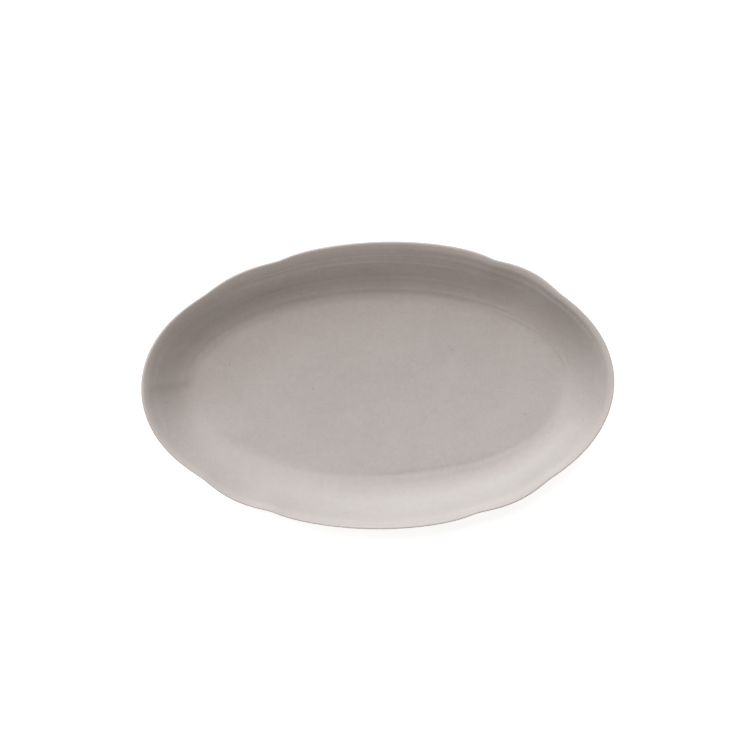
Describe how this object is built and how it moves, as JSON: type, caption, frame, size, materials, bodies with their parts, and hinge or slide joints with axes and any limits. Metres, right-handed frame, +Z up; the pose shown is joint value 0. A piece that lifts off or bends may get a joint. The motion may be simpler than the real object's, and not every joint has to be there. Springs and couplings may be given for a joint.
{
  "type": "oval serving dish",
  "caption": "Shallow oval stoneware serving dish with a softly lobed rim, a sweeping wall, a flat oval well, satin grey glaze and a bare foot ring to rest on",
  "frame": {"origin": "On the table, under the middle of the dish's outline", "axes": "+X along the dish's length, to the right in the picture; +Y across it, to the top of the picture; +Z up out of the well"},
  "size_m": [0.235, 0.1432, 0.025],
  "materials": {
    "clay": "bare fired stoneware, matt and slightly gritty",
    "glaze": "satin warm grey glaze with sparse fine iron specks"
  },
  "bodies": {
    "root": {"clay_body": "clay", "foot_ring": "clay", "glaze_coat": "glaze", "base_glaze": "glaze"}
  },
  "joints": []
}
